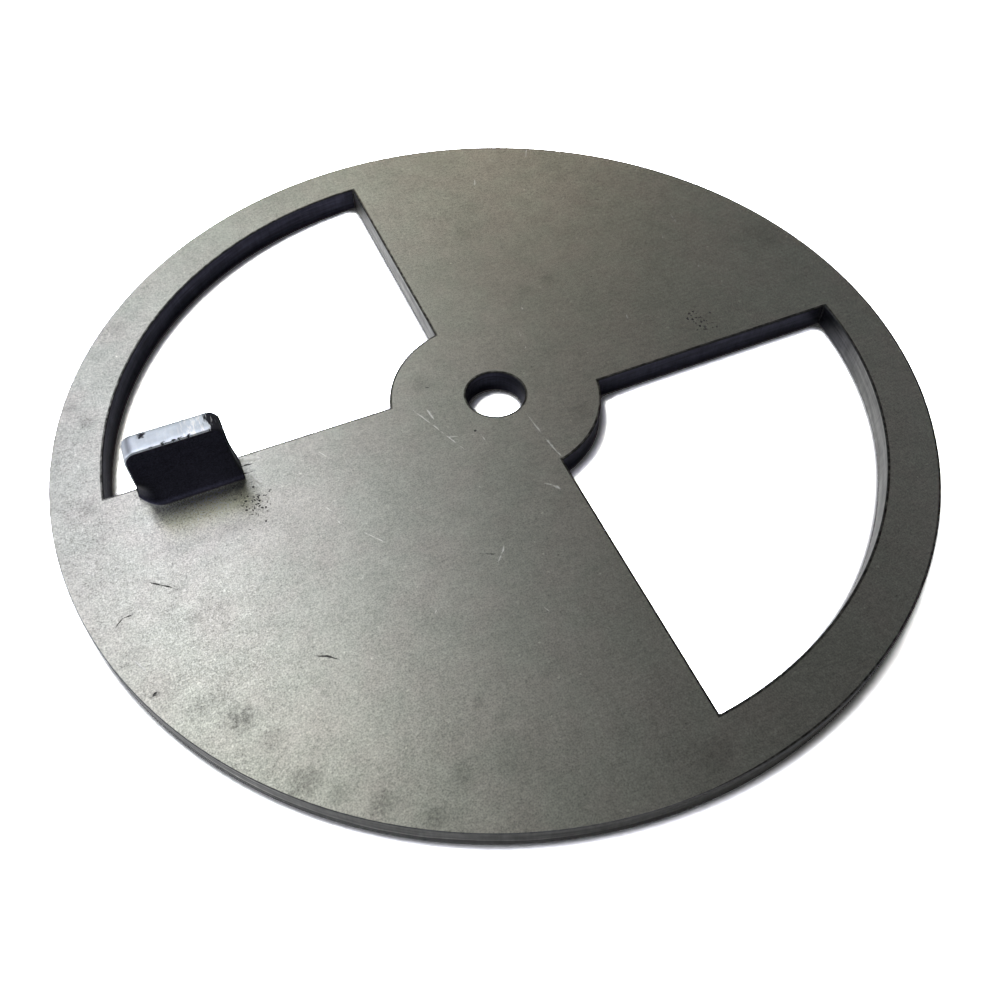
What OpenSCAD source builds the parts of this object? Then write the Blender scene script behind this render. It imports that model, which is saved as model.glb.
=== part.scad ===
// Pinwheel damper plate: a flat disc with two quarter-turn openings and a folded finger tab.
// The plate lies on z = 0 and the bore axis is Z. The tab stands at the edge of the opening
// between -X and +Y, and its front faces -Y.

/* [Plate] */
// Outside diameter of the disc
plate_d = 152.4; // [142:0.2:165]
// Thickness of the sheet that the disc and its tab are made from
plate_t = 4.55; // [2.5:0.05:6.5]

/* [Bore and hub] */
// Diameter of the pivot bolt hole
bore_d = 10.5; // [6:0.1:16]
// Diameter of the solid hub round the bolt hole
hub_d = 37.6; // [24:0.2:56]

/* [Openings] */
// Number of openings, with as many solid blades between them
opening_count = 2; // [2, 3, 4]
// Diameter of the circle that the openings reach out to
opening_d = 135.2; // [130:0.2:138]
// How far each blade laps past the line that it would share with its opening
blade_lap = 4.4; // [1:0.1:8]

/* [Finger tab] */
// Distance from the bore axis to the middle of the tab, along the blade's edge
tab_reach = 53.8; // [44:0.1:56]
// Width of the tab over its straight sides
tab_w = 15.6; // [10:0.1:18]
// How far each side of the tab flares out at the fold
tab_flare = 0.6; // [0.1:0.05:1.2]
// Length of each flare, up the tab from the fold
tab_flare_run = 4.8; // [2:0.1:6]
// Height of the tab's top above the upper face of the plate
tab_h = 11.6; // [10:0.1:18]
// Radius of the tab's two upper corners
tab_corner_r = 2; // [0.5:0.1:3.5]
// Distance from the blade's edge in to the tab's back, at the upper face of the plate
tab_setback = 0.25; // [0:0.05:3]

/* [Fold] */
// Angle that the tab is folded up through
fold_angle = 83; // [75:1:90]
// Inside radius of the fold
fold_r = 1.3; // [0.8:0.1:4.5]

/* [Hidden] */
steel = [0.55, 0.55, 0.51];
// Facets of a full circle
round_fn = 180;
// How far a cut runs past the material that it cuts
overrun = 1;

plate_r = plate_d / 2;
opening_r = opening_d / 2;
hub_r = hub_d / 2;
opening_sweep = 180 / opening_count;
opening_pitch = 360 / opening_count;

// The first opening starts at -X and the rest follow clockwise, seen from above
first_edge_angle = 180;

// The tab stands on the first opening's edge, which is the line y = blade_lap
tab_back_y = blade_lap - tab_setback;
tab_front_y = tab_back_y - plate_t / sin(fold_angle);
root_w = tab_w + 2 * tab_flare;
root_x = -tab_reach - root_w / 2;

// The fold turns about a line along X, and starts where the plate stops being flat
fold_outer_r = fold_r + plate_t;
fold_y = tab_front_y - fold_r * tan(fold_angle / 2);
fold_z = plate_t + fold_r;

// The flat leg above the fold, measured along the tab
leg_len = (tab_h - fold_r * (1 - cos(fold_angle))) / sin(fold_angle);
flare_run = min(tab_flare_run, leg_len - tab_corner_r);
flare_r = (pow(flare_run, 2) + pow(tab_flare, 2)) / (2 * tab_flare);

// The outline of one opening: a sector between hub and rim, narrowed by the lap of both blades
module opening_outline() {
    half = opening_sweep / 2;
    apex = blade_lap / sin(half);
    side = plate_d;
    difference() {
        circle(r = opening_r, $fn = round_fn);
        circle(r = hub_r, $fn = round_fn);
        // What the two blades keep, on either side of the opening's middle line
        for (turn = [half, -half - 180]) {
            translate([apex, 0]) rotate(turn) translate([-side, 0]) square([2 * side, side]);
        }
    }
}

// The disc with its bore and openings, and a notch where the tab is folded up
module flat_plate() {
    linear_extrude(height = plate_t) difference() {
        circle(r = plate_r, $fn = round_fn);
        circle(d = bore_d, $fn = round_fn);
        for (i = [0 : opening_count - 1]) {
            rotate(first_edge_angle - opening_sweep / 2 - i * opening_pitch) opening_outline();
        }
        translate([root_x, fold_y]) square([root_w, blade_lap - fold_y + overrun]);
    }
}

// The sheet's section through fold and leg, with the fold's centre at the origin and Y to the right
module tab_section() {
    side = 2 * (fold_outer_r + leg_len);
    lean = fold_angle - 90;
    difference() {
        union() {
            intersection() {
                circle(r = fold_outer_r, $fn = round_fn);
                rotate(lean) translate([-side, -side]) square([2 * side, side + leg_len / 2]);
            }
            rotate(lean) square([fold_outer_r, leg_len]);
        }
        circle(r = fold_r, $fn = round_fn);
        rotate(lean) translate([-side, 0]) square([side + fold_r, leg_len + overrun]);
        translate([-side, -side]) square([side, 2 * side]);
    }
}

// What is trimmed from one side of the leg: a hollow flare, a straight side and a round corner
module leg_side_trim() {
    translate([tab_w / 2 + flare_r, flare_run]) circle(r = flare_r, $fn = round_fn);
    translate([tab_w / 2, flare_run]) square([root_w, leg_len]);
    translate([tab_w / 2 - tab_corner_r, leg_len - tab_corner_r]) difference() {
        square(tab_corner_r + overrun);
        circle(r = tab_corner_r, $fn = round_fn);
    }
}

// The tab, folded up from the plate with its true inside and outside radii
module finger_tab() {
    difference() {
        translate([root_x, fold_y, fold_z])
            rotate([90, 0, 90])
            linear_extrude(height = root_w)
            tab_section();
        for (flip = [0, 1]) {
            translate([-tab_reach, fold_y, fold_z])
                rotate([fold_angle, 0, 0])
                mirror([flip, 0, 0])
                translate([0, 0, -fold_outer_r - overrun])
                linear_extrude(height = plate_t + 2 * overrun)
                leg_side_trim();
        }
    }
}

module damper_plate() {
    color(steel) union() {
        flat_plate();
        finger_tab();
    }
}

damper_plate();
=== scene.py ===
import math
import random
import bpy
import bmesh
from mathutils import Euler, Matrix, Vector


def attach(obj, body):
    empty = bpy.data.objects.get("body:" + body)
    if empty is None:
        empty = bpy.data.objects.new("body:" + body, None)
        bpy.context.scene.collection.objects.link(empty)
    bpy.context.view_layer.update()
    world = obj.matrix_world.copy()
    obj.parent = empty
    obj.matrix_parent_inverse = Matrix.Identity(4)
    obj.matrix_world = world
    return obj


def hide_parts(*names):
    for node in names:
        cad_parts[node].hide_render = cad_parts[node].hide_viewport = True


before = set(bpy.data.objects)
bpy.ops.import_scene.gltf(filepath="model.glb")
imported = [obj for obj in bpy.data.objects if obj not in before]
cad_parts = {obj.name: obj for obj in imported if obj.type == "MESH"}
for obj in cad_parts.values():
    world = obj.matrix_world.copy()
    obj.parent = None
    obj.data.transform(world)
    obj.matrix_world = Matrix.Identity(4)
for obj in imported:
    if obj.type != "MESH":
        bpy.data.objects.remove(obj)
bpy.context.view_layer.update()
mm = 0.001


# small helpers for node trees

def addNode(tree, kind, **settings):
    node = tree.nodes.new(kind)
    for name, value in settings.items():
        setattr(node, name, value)
    return node


def feed(tree, socket, value):
    # a socket is linked, anything else is its plain value
    if isinstance(value, bpy.types.NodeSocket):
        tree.links.new(value, socket)
    else:
        socket.default_value = value


def calc(tree, operation, *values, clamp=False):
    node = addNode(tree, "ShaderNodeMath", operation=operation, use_clamp=clamp)
    for socket, value in zip(node.inputs, values):
        feed(tree, socket, value)
    return node.outputs[0]


def vecCalc(tree, operation, *values, out=0):
    node = addNode(tree, "ShaderNodeVectorMath", operation=operation)
    for socket, value in zip(node.inputs, values):
        feed(tree, socket, value)
    return node.outputs[out]


def remap(tree, value, fromMin, fromMax, toMin, toMax, smooth=False):
    node = addNode(tree, "ShaderNodeMapRange", interpolation_type="SMOOTHSTEP" if smooth else "LINEAR")
    for name, given in (("Value", value), ("From Min", fromMin), ("From Max", fromMax),
                        ("To Min", toMin), ("To Max", toMax)):
        feed(tree, node.inputs[name], given)
    return node.outputs["Result"]


def startTree(name, inputs):
    # a geometry tree with a named input for each size
    tree = bpy.data.node_groups.new(name, "GeometryNodeTree")
    tree.interface.new_socket("Geometry", in_out="OUTPUT", socket_type="NodeSocketGeometry")
    tree.interface.new_socket("Geometry", in_out="INPUT", socket_type="NodeSocketGeometry")
    kinds = {float: "NodeSocketFloat", int: "NodeSocketInt", bpy.types.Material: "NodeSocketMaterial"}
    for label, value in inputs.items():
        tree.interface.new_socket(label, in_out="INPUT", socket_type=kinds[type(value)])
    given = addNode(tree, "NodeGroupInput")
    final = addNode(tree, "NodeGroupOutput")
    return tree, {s.name: s for s in given.outputs if s.name}, final.inputs[0]


def runTree(obj, tree, inputs):
    mod = obj.modifiers.new(tree.name, "NODES")
    mod.node_group = tree
    for item in tree.interface.items_tree:
        if item.in_out == "INPUT" and item.name in inputs:
            mod[item.identifier] = inputs[item.name]
    return mod


def bake(obj, name):
    # the evaluated result as a plain mesh, with every modifier gone
    bpy.context.view_layer.update()
    shape = bpy.data.meshes.new_from_object(obj.evaluated_get(bpy.context.evaluated_depsgraph_get()))
    obj.modifiers.clear()
    shape.name = name
    obj.data = shape
    kept = [m for m in shape.materials if m is not None]
    moved = [kept.index(m) if m is not None else 0 for m in shape.materials] or [0]
    slots = [moved[poly.material_index] for poly in shape.polygons]
    shape.materials.clear()
    for m in kept:
        shape.materials.append(m)
    shape.polygons.foreach_set("material_index", slots)
    return obj


def newObject(name, mesh=None):
    obj = bpy.data.objects.new(name, mesh or bpy.data.meshes.new(name))
    bpy.context.scene.collection.objects.link(obj)
    return obj


# the plate's sizes, which its shape and its finishes share

plateSizes = {
    "rimRadius": 76.2 * mm,
    "openingRadius": 67.6 * mm,
    "hubRadius": 18.8 * mm,
    "boreRadius": 5.25 * mm,
    "edgeSetback": 4.4 * mm,
    "thickness": 4.55 * mm,
    "openings": 2,
    "firstEdge": math.radians(180.0),  # where the first blade's edge starts, before the setback
    "columns": 64,
    "edgeBreak": 0.14 * mm,
}


# finishes: every pattern is placed in millimetres from the part's own origin

def startMaterial(name):
    mat = bpy.data.materials.new(name)
    mat.use_nodes = True
    tree = mat.node_tree
    shader = tree.nodes["Principled BSDF"]
    shader.inputs["Metallic"].default_value = 1.0
    place = addNode(tree, "ShaderNodeTexCoord").outputs["Object"]
    inMm = vecCalc(tree, "MULTIPLY", place, (1000.0, 1000.0, 1000.0))
    return mat, tree, shader, inMm


def grain(tree, where, scale, detail=2.0, rough=0.5, stretch=(1.0, 1.0, 1.0), turn=0.0, out="Fac"):
    mapping = addNode(tree, "ShaderNodeMapping")
    feed(tree, mapping.inputs["Vector"], where)
    mapping.inputs["Scale"].default_value = stretch
    mapping.inputs["Rotation"].default_value = (0.0, 0.0, turn)
    noise = addNode(tree, "ShaderNodeTexNoise")
    feed(tree, noise.inputs["Vector"], mapping.outputs["Vector"])
    noise.inputs["Scale"].default_value = scale
    noise.inputs["Detail"].default_value = detail
    noise.inputs["Roughness"].default_value = rough
    return noise.outputs[out]


def vary(tree, where, layers):
    # a level that wanders round 1: each layer is (scale for each mm, detail, amount)
    level = 1.0
    for scale, detail, amount in layers:
        wave = calc(tree, "SUBTRACT", grain(tree, where, scale, detail), 0.5)
        level = calc(tree, "ADD", calc(tree, "MULTIPLY", wave, amount), level)
    return level


def wander(tree, where, scale, amount):
    # the place, pushed about by a soft noise, so that edges drawn with it come out uneven
    push = vecCalc(tree, "SUBTRACT", grain(tree, where, scale, 3.0, 0.6, out="Color"), (0.5, 0.5, 0.5))
    return vecCalc(tree, "ADD", where, vecCalc(tree, "MULTIPLY", push, (amount, amount, amount)))


def spotMask(tree, where, spots, height):
    # soft round spots, each (x, y, radius, strength) in mm
    total = 0.0
    for x, y, radius, strength in spots:
        gap = vecCalc(tree, "DISTANCE", where, (x, y, height), out=1)
        spot = remap(tree, gap, 0.3 * radius, 1.3 * radius, strength, 0.0, smooth=True)
        total = calc(tree, "ADD", spot, total)
    return calc(tree, "MINIMUM", total, 1.0)


def speckMask(tree, where, scale, size, share):
    # one round speck in some of the cells of a flat cell pattern
    cells = addNode(tree, "ShaderNodeTexVoronoi", voronoi_dimensions="2D")
    feed(tree, cells.inputs["Vector"], where)
    cells.inputs["Scale"].default_value = scale
    pick = addNode(tree, "ShaderNodeSeparateColor")
    feed(tree, pick.inputs[0], cells.outputs["Color"])
    chosen = calc(tree, "GREATER_THAN", pick.outputs[0], 1.0 - share)
    reach = calc(tree, "MULTIPLY", pick.outputs[1], size * scale)
    near = remap(tree, cells.outputs["Distance"], calc(tree, "MULTIPLY", reach, 0.4), reach, 1.0, 0.0)
    return calc(tree, "MULTIPLY", near, chosen)


def blendColor(tree, amount, a, b, mode="MIX"):
    node = addNode(tree, "ShaderNodeMix", data_type="RGBA", blend_type=mode)
    feed(tree, node.inputs["Factor"], amount)
    for socket, value in ((node.inputs[6], a), (node.inputs[7], b)):
        feed(tree, socket, (*value, 1.0) if isinstance(value, tuple) and len(value) == 3 else value)
    return node.outputs[2]


def rampOver(tree, value, stops):
    # a level that follows value from stop to stop: each stop is (value, level)
    first, last = stops[0][0], stops[-1][0]
    node = addNode(tree, "ShaderNodeValToRGB")
    feed(tree, node.inputs["Fac"], remap(tree, value, first, last, 0.0, 1.0))
    points = node.color_ramp.elements
    for i, (at, level) in enumerate(stops):
        share = (at - first) / (last - first)
        point = points[0] if i == 0 else points[-1] if i == len(stops) - 1 else points.new(share)
        point.position = share
        point.color = (level, level, level, 1.0)
    return node.outputs["Color"]


def edgeGap(tree, x, y, radius):
    # how far a place on the face lies from the nearest cut edge, in mm
    setback, hub, wide, bore, rim = (plateSizes[name] / mm for name in (
        "edgeSetback", "hubRadius", "openingRadius", "boreRadius", "rimRadius"))
    ring = calc(tree, "MAXIMUM", calc(tree, "SUBTRACT", hub, radius), calc(tree, "SUBTRACT", radius, wide))
    tabSide = calc(tree, "MAXIMUM", calc(tree, "ADD", x, setback), calc(tree, "SUBTRACT", setback, y))
    plainSide = calc(tree, "MAXIMUM", calc(tree, "SUBTRACT", setback, x), calc(tree, "ADD", y, setback))
    gap = calc(tree, "MAXIMUM", ring, calc(tree, "MINIMUM", tabSide, plainSide))
    gap = calc(tree, "MINIMUM", gap, calc(tree, "SUBTRACT", radius, bore))
    # the painted dark line is left off the rim towards the tab and at the far side, where light falls on the edge
    lightened = calc(tree, "MAXIMUM", remap(tree, x, -30.0, 10.0, 0.7, 0.0), remap(tree, y, 0.0, 20.0, 0.0, 1.0))
    rimGap = calc(tree, "ADD", calc(tree, "SUBTRACT", rim, radius), lightened)
    return calc(tree, "MINIMUM", gap, rimGap)


def shade(tree, color, level):
    node = addNode(tree, "ShaderNodeVectorMath", operation="SCALE")
    feed(tree, node.inputs[0], color)
    feed(tree, node.inputs["Scale"], level)
    return node.outputs[0]


def addBump(tree, shader, height, distance, strength=1.0):
    node = addNode(tree, "ShaderNodeBump")
    feed(tree, node.inputs["Height"], height)
    node.inputs["Distance"].default_value = distance
    node.inputs["Strength"].default_value = strength
    feed(tree, shader.inputs["Normal"], node.outputs["Normal"])


faceLevel = 4.55  # the top face's height in mm

millFace = {
    "greenish": (0.499, 0.509, 0.456),  # the bare sheet's tint wanders between these two
    "brownish": (0.512, 0.502, 0.456),
    # painted shade for the tab's front
    "paintedShadeTabFront": (0.046, 0.046, 0.072),
    "mottle": [(4.0, 1.0, 0.80), (1.3, 2.0, 0.36), (0.32, 3.0, 0.24), (0.06, 2.0, 0.16)],
    "grainLeft": 1.75,     # how much stronger the mottle is on the tab's side, and on the far blade
    "grainFar": 1.45,
    "paintedShadeLeft": 0.84,       # painted shade and painted light at the two ends of X, as a share of the sheet's tone
    "paintedLightRight": 1.24,
    "paintedEdgeShade": 0.08,      # share of the face's tone left in the painted dark line along the cut edges
    "paintedLightBeforeTab": 1.9,         # painted light: the paler patch before the tab, where the tab takes the light away
    "roughLow": 0.39,
    "roughHigh": 0.47,
    "stainColor": 0.52,  # share of the face's tone left in the middle of a stain
    "stains": [
        (-56.2, -41.5, 2.4, 0.9), (-61.0, -37.5, 1.6, 0.5), (-58.2, -37.5, 1.5, 0.35), (-53.4, -46.0, 2.0, 0.5),
        (-69.9, -20.2, 1.1, 0.4), (-68.0, -19.2, 1.0, 0.4), (-61.4, -20.4, 1.0, 0.35), (-59.0, -23.4, 1.2, 0.45),
        (-62.6, -15.5, 1.0, 0.3), (-60.6, -17.2, 1.0, 0.35), (-70.2, 3.4, 1.9, 0.5), (-69.3, -3.4, 1.4, 0.3),
        (-67.8, 22.6, 2.0, 0.45), (-63.3, 38.4, 1.8, 0.3), (-58.6, 43.6, 1.8, 0.3), (-69.6, 26.8, 1.2, 0.35), (-62.5, 2.6, 0.5, 1.0),
        (-51.0, -53.6, 2.3, 0.7), (-47.0, -57.0, 1.8, 0.5), (-42.3, -60.2, 2.2, 0.65), (-36.4, -64.6, 1.8, 0.6),
        (-31.2, -60.9, 2.2, 0.5), (-23.5, -61.7, 3.5, 0.25), (-25.6, -52.4, 1.0, 0.35), (-23.5, -55.6, 1.2, 0.3),
        (0.6, -72.2, 3.0, 0.4), (-44.5, -42.6, 0.8, 0.4), (16.1, 23.1, 2.0, 0.3), (21.8, 24.4, 1.8, 0.3),
        (12.0, 43.7, 2.2, 0.3), (69.0, 18.7, 4.5, 0.3), (-11.2, 7.6, 2.4, 0.35), (11.8, -9.7, 2.5, 0.25),
        (-66.8, -33.4, 0.9, 0.8), (-65.0, -31.0, 1.1, 0.3), (45.0, 2.2, 2.0, 0.25), (-64.5, -34.0, 1.4, 0.35),
    ],
}


def makeMillFace():
    mat, tree, shader, inMm = startMaterial("millFaceSteel")
    s = millFace
    at = addNode(tree, "ShaderNodeSeparateXYZ")
    feed(tree, at.inputs[0], inMm)
    x, y, z = at.outputs["X"], at.outputs["Y"], at.outputs["Z"]
    radius = vecCalc(tree, "LENGTH", vecCalc(tree, "MULTIPLY", inMm, (1.0, 1.0, 0.0)), out=1)
    # mottle, strongest by the tab
    level = calc(tree, "SUBTRACT", vary(tree, inMm, s["mottle"]), 1.0)
    stronger = calc(tree, "MAXIMUM", remap(tree, x, -60.0, -15.0, s["grainLeft"], 1.0),
                    remap(tree, y, 30.0, 52.0, 1.0, s["grainFar"]))
    level = calc(tree, "ADD", calc(tree, "MULTIPLY", level, stronger), 1.0)
    streaks = grain(tree, inMm, 2.2, 2.0, 0.6, stretch=(0.12, 1.0, 1.0), turn=math.radians(-38))
    level = calc(tree, "ADD", level, calc(tree, "MULTIPLY", calc(tree, "SUBTRACT", streaks, 0.5), 0.20))
    # painted shade makes the sheet a little darker by the rim at -X, and painted light makes it paler at +X
    level = calc(tree, "MULTIPLY", level, remap(tree, x, -74.0, -52.0, s["paintedShadeLeft"], 1.0))
    level = calc(tree, "MULTIPLY", level, remap(tree, x, 15.0, 65.0, 1.0, s["paintedLightRight"]))
    # soiled places and specks
    soiled = spotMask(tree, wander(tree, inMm, 0.75, 3.4), s["stains"], faceLevel)
    broken = remap(tree, grain(tree, inMm, 1.5, 3.0, 0.7), 0.36, 0.58, 0.35, 1.15)
    dirt = calc(tree, "MULTIPLY", soiled, broken, clamp=True)
    level = calc(tree, "MULTIPLY", level, remap(tree, dirt, 0.0, 1.0, 1.0, s["stainColor"]))
    bright = speckMask(tree, wander(tree, inMm, 2.0, 0.4), 0.30, 0.34, 0.22)
    dark = speckMask(tree, wander(tree, inMm, 1.6, 0.5), 0.23, 0.30, 0.16)
    level = calc(tree, "MULTIPLY", level, remap(tree, dark, 0.0, 1.0, 1.0, 0.72))
    level = calc(tree, "MULTIPLY", level, remap(tree, bright, 0.0, 1.0, 1.0, 1.32))
    # painted light before the tab, where the tab takes the light away, and painted shade along the cut edges: a dark
    # line for the dark the edges reflect
    onTab = remap(tree, z, faceLevel + 0.16, faceLevel + 1.0, 0.0, 1.0, smooth=True)
    litPatchX = calc(tree, "MULTIPLY", remap(tree, x, -62.2, -57.5, 0.0, 1.0, smooth=True),
                remap(tree, x, -50.5, -44.5, 1.0, 0.0, smooth=True))
    litPatchY = calc(tree, "MULTIPLY", remap(tree, y, -10.5, -5.0, 0.0, 1.0, smooth=True),
                calc(tree, "MULTIPLY", remap(tree, y, 0.6, 1.6, 1.0, 0.0), calc(tree, "SUBTRACT", 1.0, onTab)))
    level = calc(tree, "MULTIPLY", level, remap(tree, calc(tree, "MULTIPLY", litPatchX, litPatchY), 0.0, 1.0, 1.0, s["paintedLightBeforeTab"]))
    # painted shade: a dark line along the cut edges, standing in for the dark the edges reflect
    line = remap(tree, edgeGap(tree, x, y, radius), 0.34, 0.50, 1.0, 0.0)
    line = calc(tree, "MULTIPLY", line, remap(tree, grain(tree, inMm, 0.9, 2.0, 0.6), 0.35, 0.60, 0.65, 1.0))
    line = calc(tree, "MULTIPLY", line, calc(tree, "SUBTRACT", 1.0, onTab))
    # and only on the flat of the sheet, not round the fold
    way = addNode(tree, "ShaderNodeSeparateXYZ")
    feed(tree, way.inputs[0], addNode(tree, "ShaderNodeNewGeometry").outputs["True Normal"])
    flat = remap(tree, calc(tree, "ABSOLUTE", way.outputs["Z"]), 0.90, 0.97, 0.0, 1.0)
    line = calc(tree, "MULTIPLY", line, flat)
    level = calc(tree, "MULTIPLY", level, remap(tree, line, 0.0, 1.0, 1.0, s["paintedEdgeShade"]))
    patches = remap(tree, grain(tree, inMm, 0.11, 2.0, 0.6), 0.38, 0.62, 0.0, 1.0)
    plainTint = blendColor(tree, patches, s["greenish"], s["brownish"])
    # painted shade: only the tab's front is painted blue-black, for the dark it reflects; its back is plain sheet
    front = calc(tree, "MULTIPLY", remap(tree, z, faceLevel + 0.03, faceLevel + 0.22, 0.0, 1.0, smooth=True),
                 remap(tree, y, 3.0, 3.6, 1.0, 0.0))
    tint = blendColor(tree, front, plainTint, s["paintedShadeTabFront"])
    feed(tree, shader.inputs["Base Color"], shade(tree, tint, level))
    fine = grain(tree, inMm, 3.0, 3.0, 0.7)
    feed(tree, shader.inputs["Roughness"], remap(tree, fine, 0.3, 0.7, s["roughLow"], s["roughHigh"]))
    addBump(tree, shader, fine, 0.000012)
    return mat


cutWall = {
    "scaled": (0.055, 0.055, 0.080),  # walls with the blue-black scale of the cut
    "plainTint": (1.0, 0.995, 0.94),       # tint of the walls painted paler where light falls on them, times the level of each below
    # painted light and shade on the rim wall: its level, by degrees round it
    "rim": [(-180.0, 0.17), (-168.0, 0.17), (-156.0, 0.34), (-144.0, 0.40), (-134.0, 0.30), (-120.0, 0.22),
            (-104.0, 0.17), (-92.0, 0.15), (-84.0, 0.19), (-76.0, 0.24), (-66.0, 0.27), (-59.0, 0.50),
            (-52.0, 0.68), (-46.0, 0.56), (-40.0, 0.47), (-15.0, 0.40),
            (120.0, 0.40), (180.0, 0.17)],
    # and by height in mm, where the cut has left a bright line above a dark one
    "layers": [(0.0, 0.9), (0.9, 0.8), (1.15, 0.40), (1.4, 0.55), (1.75, 2.1), (2.05, 1.0), (3.2, 0.85), (4.55, 1.05)],
    # painted light on the straight wall at x -4.4 and on the arc wall at +X
    "straightWallLight": 0.43,
    "arcWallLight": 0.31,
    "rough": 0.40,
    "rimRough": 0.50,
}


def makeCutWall():
    mat, tree, shader, inMm = startMaterial("cutWallSteel")
    s = cutWall
    at = addNode(tree, "ShaderNodeSeparateXYZ")
    feed(tree, at.inputs[0], inMm)
    x, y = at.outputs["X"], at.outputs["Y"]
    radius = vecCalc(tree, "LENGTH", vecCalc(tree, "MULTIPLY", inMm, (1.0, 1.0, 0.0)), out=1)
    angle = calc(tree, "ARCTAN2", y, x)
    # painted light: the rim, the straight wall at x -4.4 and the arc wall at +X are painted paler where light falls on
    # them, and the rim darker where it is shaded; the other walls keep the dark scale
    rim = remap(tree, radius, 70.0, 74.0, 0.0, 1.0)
    edge = calc(tree, "MULTIPLY", remap(tree, calc(tree, "ABSOLUTE", calc(tree, "ADD", x, 4.4)), 0.1, 0.25, 1.0, 0.0),
                calc(tree, "MULTIPLY", remap(tree, y, 17.0, 19.5, 0.0, 1.0), calc(tree, "SUBTRACT", 1.0, rim)))
    arc = calc(tree, "MULTIPLY", calc(tree, "MULTIPLY", remap(tree, radius, 65.0, 67.0, 0.0, 1.0),
                                      calc(tree, "SUBTRACT", 1.0, rim)),
               calc(tree, "MULTIPLY", remap(tree, y, -22.0, -6.0, 1.0, 0.35), calc(tree, "GREATER_THAN", x, 0.0)))
    rimPaintedLight = rampOver(tree, calc(tree, "DEGREES", angle), s["rim"])
    sag = remap(tree, grain(tree, inMm, 0.05, 3.0, 0.5), 0.3, 0.7, -0.4, 0.4)
    layered = rampOver(tree, calc(tree, "ADD", at.outputs["Z"], sag), s["layers"])
    plain = calc(tree, "MAXIMUM", remap(tree, x, -24.0, -2.0, 0.0, 0.8), remap(tree, y, -30.0, -10.0, 0.0, 0.8))
    layered = blendColor(tree, plain, layered, (1.0, 1.0, 1.0))
    rimPaintedLight = calc(tree, "MULTIPLY", rimPaintedLight, layered)
    level = calc(tree, "ADD", calc(tree, "MULTIPLY", rim, rimPaintedLight), calc(tree, "MULTIPLY", edge, s["straightWallLight"]))
    level = calc(tree, "ADD", level, calc(tree, "MULTIPLY", arc, s["arcWallLight"]))
    lightened = calc(tree, "ADD", calc(tree, "ADD", rim, edge), arc, clamp=True)
    color = blendColor(tree, lightened, s["scaled"], shade(tree, s["plainTint"], level))
    drag = grain(tree, inMm, 2.6, 2.0, 0.6, stretch=(1.0, 1.0, 0.06))
    spots = grain(tree, inMm, 0.5, 3.0, 0.6)
    # long streaks that follow the wall round
    bands = grain(tree, inMm, 1.0, 3.0, 0.6, stretch=(0.09, 0.09, 1.5))
    tone = remap(tree, drag, 0.3, 0.7, 0.88, 1.12)
    tone = calc(tree, "MULTIPLY", tone, remap(tree, bands, 0.35, 0.65, 0.72, 1.30))
    tone = calc(tree, "MULTIPLY", tone, remap(tree, spots, 0.3, 0.7, 0.85, 1.15))
    feed(tree, shader.inputs["Base Color"], shade(tree, color, tone))
    feed(tree, shader.inputs["Roughness"], remap(tree, rim, 0.0, 1.0, s["rough"], s["rimRough"]))
    addBump(tree, shader, drag, 0.00003)
    return mat


tabEdge = {
    "pale": (0.71, 0.76, 0.82),
    "lightened": (1.0, 1.0, 1.0),
    "darkTone": (0.030, 0.032, 0.045),
    "rough": 0.42,
}


def makeTabEdge():
    # the tab's sheared top: pale, scuffed across near one end, and black on its rounded corner
    mat, tree, shader, inMm = startMaterial("tabEdgeSteel")
    s = tabEdge
    at = addNode(tree, "ShaderNodeSeparateXYZ")
    feed(tree, at.inputs[0], inMm)
    strokes = grain(tree, inMm, 1.9, 3.0, 0.7, stretch=(1.0, 0.16, 0.2), turn=math.radians(12))
    patches = grain(tree, inMm, 0.6, 2.0, 0.5)
    scuffZone = remap(tree, at.outputs["X"], -53.5, -50.5, 0.15, 1.0)
    scuff = calc(tree, "MULTIPLY", remap(tree, strokes, 0.50, 0.60, 0.0, 1.0), scuffZone)
    color = blendColor(tree, scuff, s["pale"], s["lightened"])
    color = shade(tree, color, remap(tree, patches, 0.3, 0.7, 0.90, 1.08))
    combed = grain(tree, inMm, 5.0, 2.0, 0.6, stretch=(1.0, 0.08, 0.1), turn=math.radians(6))
    end = calc(tree, "ADD", at.outputs["X"], remap(tree, strokes, 0.3, 0.7, -0.7, 0.7))
    end = calc(tree, "ADD", end, remap(tree, combed, 0.3, 0.7, -0.9, 0.9))
    corner = remap(tree, end, -48.3, -47.7, 0.0, 1.0)
    nick = spotMask(tree, wander(tree, inMm, 1.6, 1.5), [
        (-58.1, 4.65, 0.7, 2.4), (-55.2, 1.2, 0.4, 1.2), (-53.6, 1.1, 0.3, 1.5), (-52.6, 1.1, 0.3, 1.2),
        (-51.2, 1.2, 0.35, 1.5), (-57.0, 1.1, 0.3, 1.0)], 16.1)
    # darker towards the tab's foot, below 8.5 to 10.5 mm
    low = remap(tree, at.outputs["Z"], 8.5, 10.5, 1.0, 0.0)
    dirt = calc(tree, "MAXIMUM", calc(tree, "MAXIMUM", corner, nick), low)
    feed(tree, shader.inputs["Base Color"], blendColor(tree, dirt, color, s["darkTone"]))
    feed(tree, shader.inputs["Metallic"], remap(tree, dirt, 0.0, 1.0, 1.0, 0.3))
    feed(tree, shader.inputs["Roughness"], remap(tree, dirt, 0.0, 1.0, s["rough"], 0.75))
    addBump(tree, shader, strokes, 0.00003)
    return mat


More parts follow.
